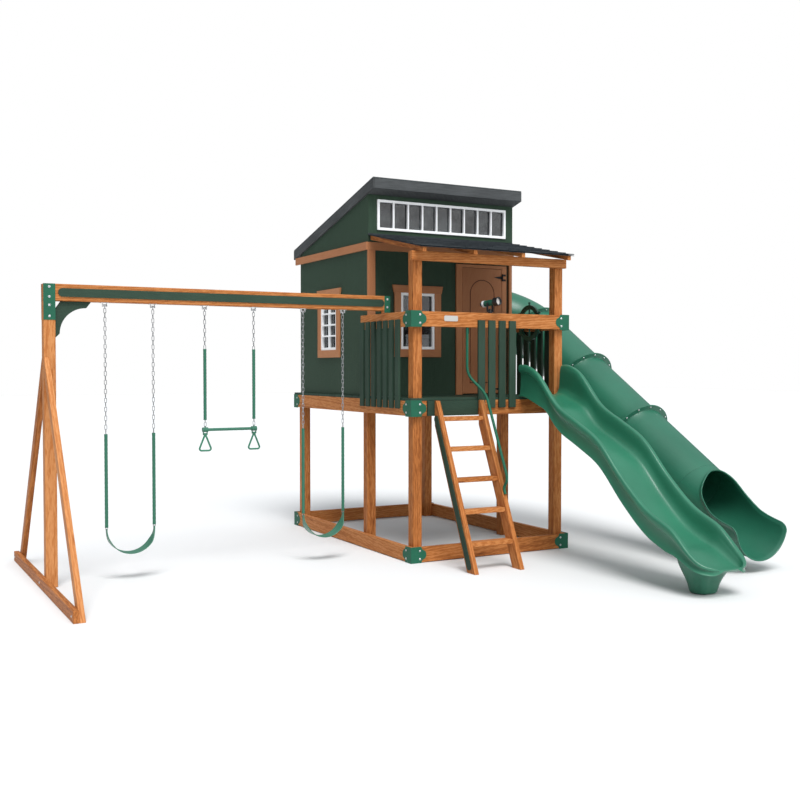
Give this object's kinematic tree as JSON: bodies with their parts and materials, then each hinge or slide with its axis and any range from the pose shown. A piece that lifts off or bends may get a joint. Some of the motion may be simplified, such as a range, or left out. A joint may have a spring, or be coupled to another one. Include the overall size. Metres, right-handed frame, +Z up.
{
  "type": "swing set",
  "caption": "Timber swing set with a raised cabin and porch, a wave slide, a tube slide, a ladder and a beam with belt swings and a trapeze bar.",
  "frame": {"origin": "on the ground, under the middle of the whole set's footprint", "axes": "+X along the swing beam towards the slides, +Y from the porch to the back of the cabin, +Z up"},
  "size_m": [6.0076, 5.275, 3.683],
  "materials": {
    "cedar": "stained cedar-tone timber, satin",
    "green_board": "dark green textured board",
    "green_siding": "dark green painted textured siding",
    "brown_trim": "brown painted trim boards",
    "door_brown": "moulded brown door skin",
    "roof_charcoal": "charcoal roofing",
    "shingle_dark": "dark shingles",
    "green_steel": "green powder-coated steel",
    "zinc": "zinc-plated steel",
    "green_plastic": "green moulded polyethylene",
    "green_grip": "green soft vinyl coating",
    "white_vinyl": "white window frame",
    "glass": "clear pane",
    "black_metal": "black hinge and pull",
    "wheel_green": "dark green moulded plastic",
    "black_plastic": "black plastic",
    "plate_grey": "pale blank plate",
    "inner_wood": "plain framing timber"
  },
  "bodies": {
    "frame": {"a_frame": "cedar", "balusters": "green_board", "beam_gusset": "green_board", "beam_inlay": "green_board", "bolts": "zinc", "cabin_framing": "inner_wood", "cabin_front_wall": "green_siding", "cabin_left_wall": "green_siding", "cabin_rear_wall": "green_siding", "cabin_right_wall": "green_siding", "cabin_roof": "roof_charcoal", "cabin_trim": "brown_trim", "clerestory_wall": "green_siding", "deck_boards": "green_board", "deck_frame": "cedar", "door_frame": "brown_trim", "door_hinges": "black_metal", "ground_rails": "cedar", "header_beam": "cedar", "ladder_green_boards": "green_board", "ladder_handrail": "green_steel", "ladder_stringers": "cedar", "ladder_treads": "cedar", "metal_brackets": "green_steel", "name_plate": "plate_grey", "porch_rafters": "cedar", "porch_roof": "shingle_dark", "roof_fascia": "roof_charcoal", "swing_beam": "cedar", "swing_hangers": "zinc", "swing_post": "cedar", "telescope_base": "black_plastic", "top_rails": "cedar", "tower_posts": "cedar", "tube_elbow": "green_plastic", "tube_exit": "green_plastic", "tube_sections": "green_plastic", "wave_slide": "green_plastic", "wave_slide_foot": "green_plastic", "wheel_axle": "zinc", "window_frames": "white_vinyl", "window_glass": "glass", "window_trims": "brown_trim"},
    "left_swing": {"left_swing_chains": "zinc", "left_swing_sleeves": "green_grip", "left_swing_belt": "green_plastic"},
    "right_swing": {"right_swing_chains": "zinc", "right_swing_sleeves": "green_grip", "right_swing_belt": "green_plastic"},
    "trapeze": {"trapeze_chains": "zinc", "trapeze_sleeves": "green_grip", "trapeze_bar": "green_grip"},
    "ring_left": {"ring_left": "green_plastic"},
    "ring_right": {"ring_right": "green_plastic"},
    "door": {"door_panel": "door_brown", "door_hardware": "black_metal"},
    "telescope_yoke": {"telescope_yoke": "black_plastic"},
    "telescope_tube": {"telescope_tube": "wheel_green", "telescope_fittings": "black_plastic"},
    "ships_wheel": {"ships_wheel": "wheel_green"}
  },
  "joints": [
    {"name": "left_swing_hinge", "type": "hinge", "parent": "frame", "child": "left_swing", "pos_m": [-2.24875, 0.3875, 2.325], "axis": [1, 0, 0], "range_deg": [-55, 55]},
    {"name": "right_swing_hinge", "type": "hinge", "parent": "frame", "child": "right_swing", "pos_m": [-0.45175, 0.3875, 2.325], "axis": [1, 0, 0], "range_deg": [-55, 55]},
    {"name": "trapeze_hinge", "type": "hinge", "parent": "frame", "child": "trapeze", "pos_m": [-1.36125, 0.3875, 2.325], "axis": [1, 0, 0], "range_deg": [-50, 50]},
    {"name": "ring_left_hinge", "type": "hinge", "parent": "trapeze", "child": "ring_left", "pos_m": [-1.58825, 0.3875, 1.22], "axis": [1, 0, 0], "range_deg": [-60, 60]},
    {"name": "ring_right_hinge", "type": "hinge", "parent": "trapeze", "child": "ring_right", "pos_m": [-1.13425, 0.3875, 1.22], "axis": [1, 0, 0], "range_deg": [-60, 60]},
    {"name": "door_hinge", "type": "hinge", "parent": "frame", "child": "door", "pos_m": [1.82175, 0.7765, 2.2], "axis": [0, 0, 1], "range_deg": [0, 90]},
    {"name": "telescope_swivel", "type": "hinge", "parent": "frame", "child": "telescope_yoke", "pos_m": [1.05675, -0.138, 2.345], "axis": [0, 0, 1], "continuous": true},
    {"name": "telescope_tilt", "type": "hinge", "parent": "telescope_yoke", "child": "telescope_tube", "pos_m": [1.05675, -0.138, 2.424], "axis": [0.9613, 0.2756, 0], "range_deg": [-30, 20]},
    {"name": "ships_wheel_spin", "type": "hinge", "parent": "frame", "child": "ships_wheel", "pos_m": [1.90575, 0.4035, 2.271], "axis": [1, 0, 0], "continuous": true}
  ]
}
